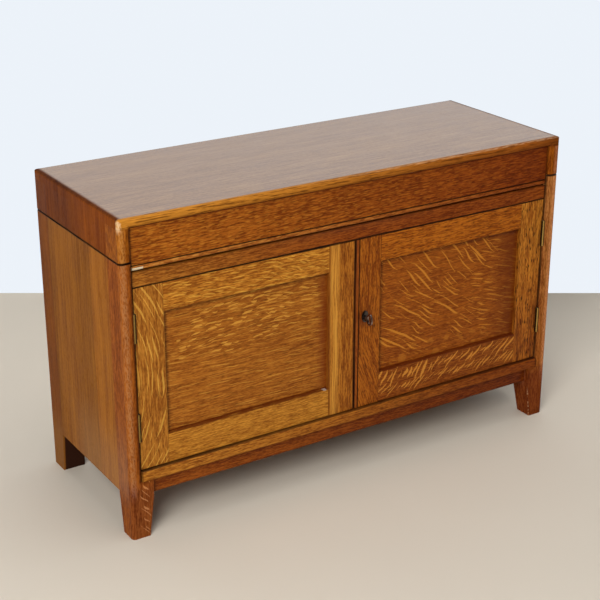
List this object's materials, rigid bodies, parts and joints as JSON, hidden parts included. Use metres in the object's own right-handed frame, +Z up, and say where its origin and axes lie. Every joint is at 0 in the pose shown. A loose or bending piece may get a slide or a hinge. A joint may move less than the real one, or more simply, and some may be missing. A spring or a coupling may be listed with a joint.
{
  "type": "blanket chest",
  "caption": "Oak blanket chest on tapered feet with a rear-hinged box lid, panelled front doors on butt hinges, a keyed lock and an open inside.",
  "frame": {"origin": "on the floor, under the middle of everything the chest takes up from the key in front to the lid hinges behind", "axes": "+X to the right seen from the front, +Y to the back, +Z up"},
  "size_m": [0.914, 0.3536, 0.5756],
  "materials": {
    "frame_oak": "red-brown quarter-sawn oak, satin polish",
    "side_oak": "straight-grained oak, satin polish",
    "lid_oak": "quarter-sawn oak, satin polish",
    "left_door_oak": "golden quarter-sawn oak, satin polish",
    "right_door_oak": "redder quarter-sawn oak, satin polish",
    "inner_oak": "plain oak, unpolished",
    "hinge_brass": "aged brass",
    "screw_brass": "aged brass",
    "pin_steel": "dull steel",
    "lock_iron": "dark oiled iron",
    "key_bronze": "brown polished bronze"
  },
  "bodies": {
    "chest": {"front_post_left": "frame_oak", "front_post_right": "frame_oak", "back_post_left": "frame_oak", "back_post_right": "frame_oak", "side_board_left": "side_oak", "side_board_right": "side_oak", "front_apron": "frame_oak", "front_nosing": "frame_oak", "front_top_rail": "frame_oak", "back_top_rail": "inner_oak", "back_bottom_rail": "inner_oak", "back_panel": "inner_oak", "floor_board": "inner_oak", "floor_bearer_left": "inner_oak", "floor_bearer_right": "inner_oak", "floor_bearer_front": "inner_oak", "floor_bearer_back": "inner_oak", "floor_bearer_screws": "screw_brass", "door_stop": "inner_oak", "door_hinge_post_leaves": "hinge_brass", "door_hinge_post_screws": "screw_brass", "door_hinge_pins": "pin_steel", "lid_hinge_body_leaves": "hinge_brass", "lid_hinge_body_screws": "screw_brass", "lid_hinge_pins": "pin_steel"},
    "lid": {"lid_top": "lid_oak", "lid_front": "lid_oak", "lid_back": "lid_oak", "lid_side_left": "lid_oak", "lid_side_right": "lid_oak", "lid_front_post_left": "lid_oak", "lid_front_post_right": "lid_oak", "lid_back_post_left": "lid_oak", "lid_back_post_right": "lid_oak", "lid_hinge_lid_leaves": "hinge_brass", "lid_hinge_lid_screws": "screw_brass"},
    "left_door": {"left_door_hinge_stile": "left_door_oak", "left_door_meeting_stile": "left_door_oak", "left_door_top_rail": "left_door_oak", "left_door_bottom_rail": "left_door_oak", "left_door_panel": "left_door_oak", "left_door_hinge_leaves": "hinge_brass", "left_door_hinge_screws": "screw_brass", "bolt_plate": "lock_iron", "bolt_plate_screws": "screw_brass"},
    "right_door": {"right_door_hinge_stile": "right_door_oak", "right_door_meeting_stile": "right_door_oak", "right_door_top_rail": "right_door_oak", "right_door_bottom_rail": "right_door_oak", "right_door_panel": "right_door_oak", "right_door_hinge_leaves": "hinge_brass", "right_door_hinge_screws": "screw_brass", "lock_case": "lock_iron", "lock_case_screws": "screw_brass", "escutcheon": "hinge_brass"},
    "key": {"key": "key_bronze"},
    "lock_bolt": {"lock_bolt": "lock_iron"},
    "left_door_bolt": {"bolt_rod": "lock_iron", "bolt_knob": "lock_iron"}
  },
  "joints": [
    {"name": "lid_hinge", "type": "hinge", "parent": "chest", "child": "lid", "pos_m": [0, 0.17335, 0.5018], "axis": [-1, 0, 0], "range_deg": [0, 100]},
    {"name": "left_door_hinge", "type": "hinge", "parent": "chest", "child": "left_door", "pos_m": [-0.4332, -0.15585, 0.2935], "axis": [0, 0, -1], "range_deg": [0, 110]},
    {"name": "right_door_hinge", "type": "hinge", "parent": "chest", "child": "right_door", "pos_m": [0.4332, -0.15585, 0.2935], "axis": [0, 0, 1], "range_deg": [0, 110]},
    {"name": "key_turn", "type": "hinge", "parent": "right_door", "child": "key", "pos_m": [0.022, -0.15385, 0.303], "axis": [0, 1, 0], "range_deg": [0, 90]},
    {"name": "lock_bolt_slide", "type": "slide", "parent": "right_door", "child": "lock_bolt", "axis": [-1, 0, 0], "range_m": [0, 0.009]},
    {"name": "left_door_bolt_slide", "type": "slide", "parent": "left_door", "child": "left_door_bolt", "axis": [0, 0, 1], "range_m": [0, 0.014]}
  ],
  "couplings": [
    {"joint": "lock_bolt_slide", "follows": "key_turn", "m_per_rad": 0.0057295}
  ]
}
